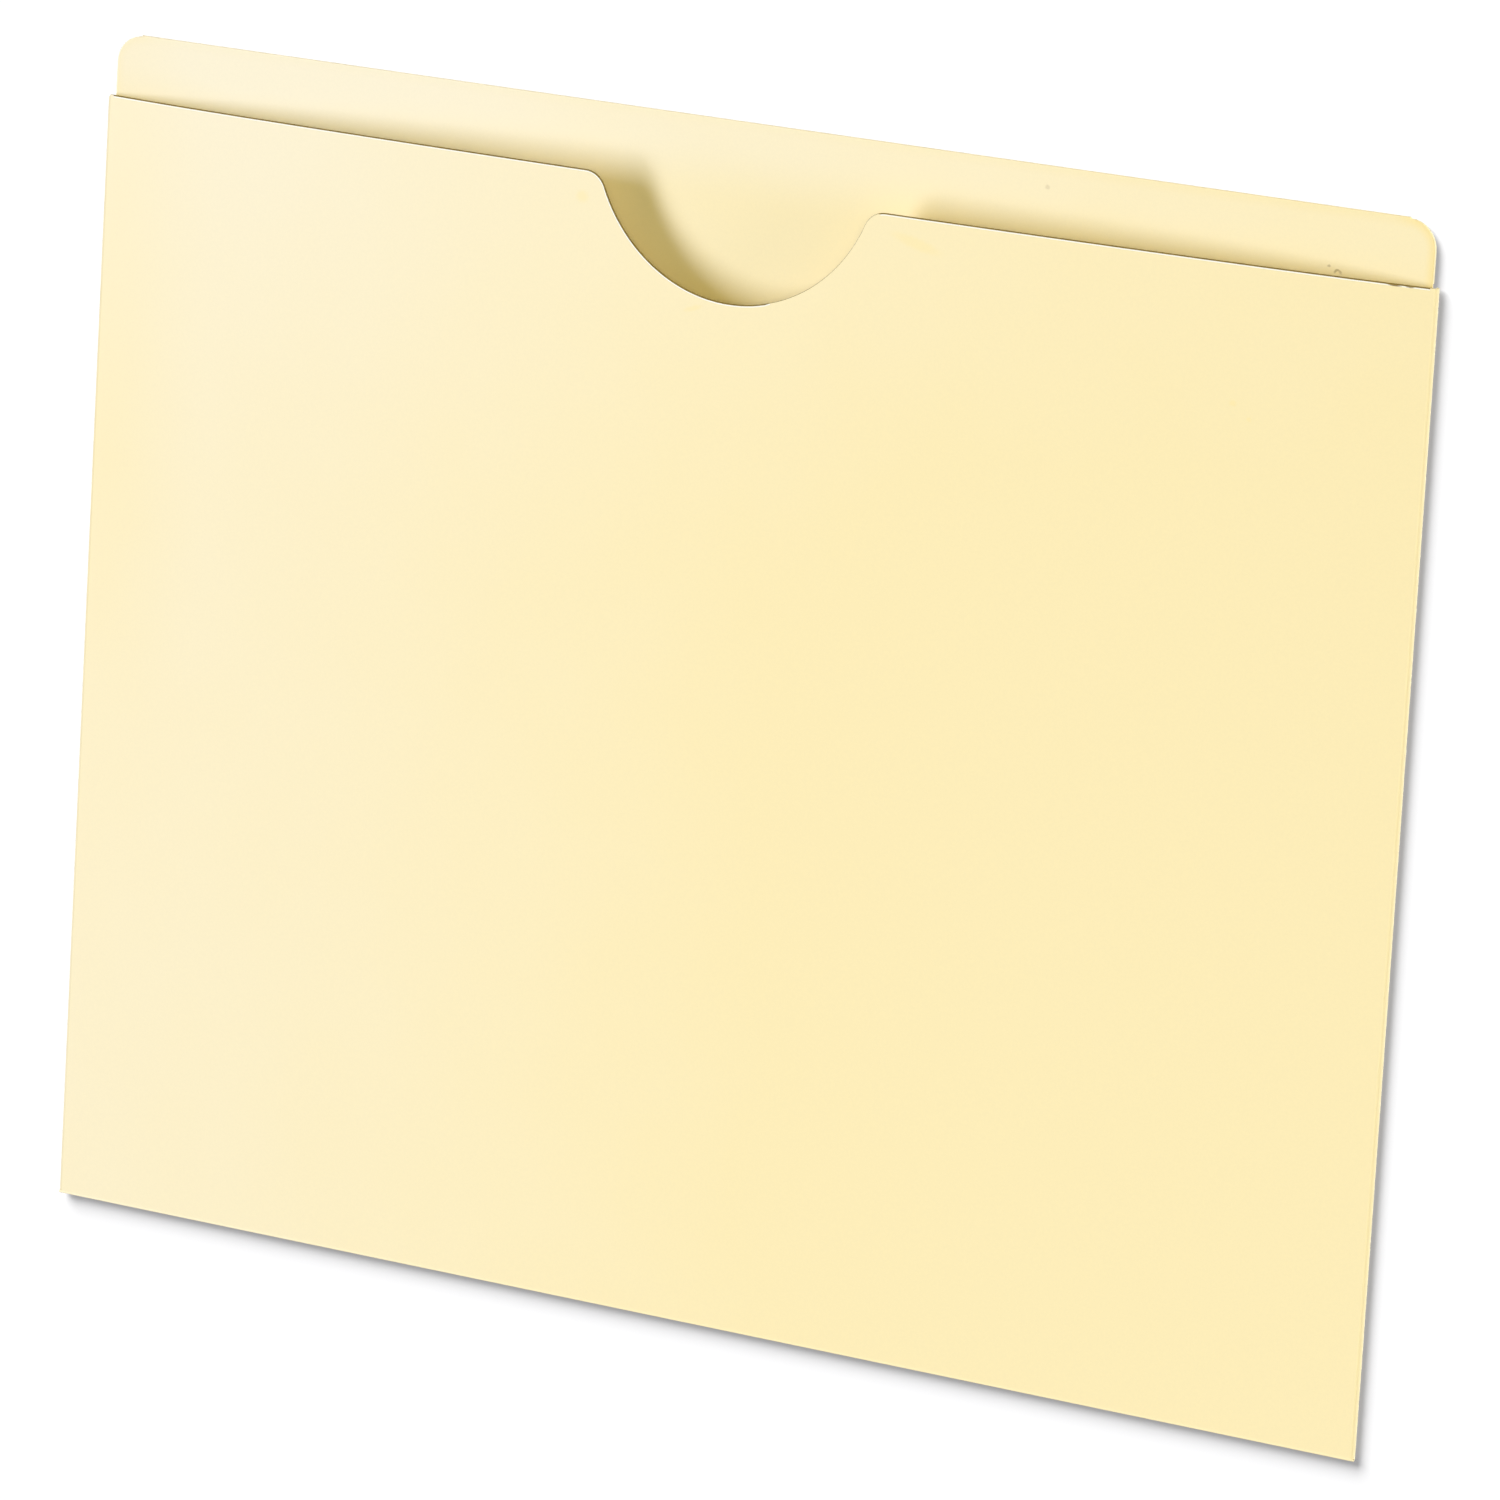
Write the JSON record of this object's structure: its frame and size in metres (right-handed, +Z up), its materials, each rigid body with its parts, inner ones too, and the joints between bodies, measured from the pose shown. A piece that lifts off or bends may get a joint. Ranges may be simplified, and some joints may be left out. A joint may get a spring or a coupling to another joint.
{
  "type": "file jacket",
  "caption": "Flat letter-size paper file jacket: a pocket open at the top with a thumb notch and a full-width tab.",
  "frame": {"origin": "bottom centre of the jacket's box, on the floor under the bottom fold", "axes": "+X along the mouth to the right as the front is read, +Y from the front panel to the back, +Z up to the tab"},
  "size_m": [0.2984, 0.007, 0.2413],
  "materials": {
    "manila": "matte",
    "manila_fold": "matte",
    "dried_glue": "satin"
  },
  "bodies": {
    "back": {"back_panel": "manila", "tab_reinforcement_ply": "manila", "tab_top_fold": "manila_fold", "tab_glue": "dried_glue", "bottom_fold": "manila_fold", "left_side_fold": "manila_fold", "right_side_fold": "manila_fold", "left_glue_flap": "manila", "right_glue_flap": "manila", "left_flap_glue": "dried_glue", "right_flap_glue": "dried_glue"},
    "front": {"front_panel": "manila"}
  },
  "joints": [
    {"name": "mouth_opening", "type": "hinge", "parent": "back", "child": "front", "pos_m": [0, 0.0026, 0.00056], "axis": [1, 0, 0], "range_deg": [0, 5], "stiffness_Nm_per_rad": 0.4}
  ]
}
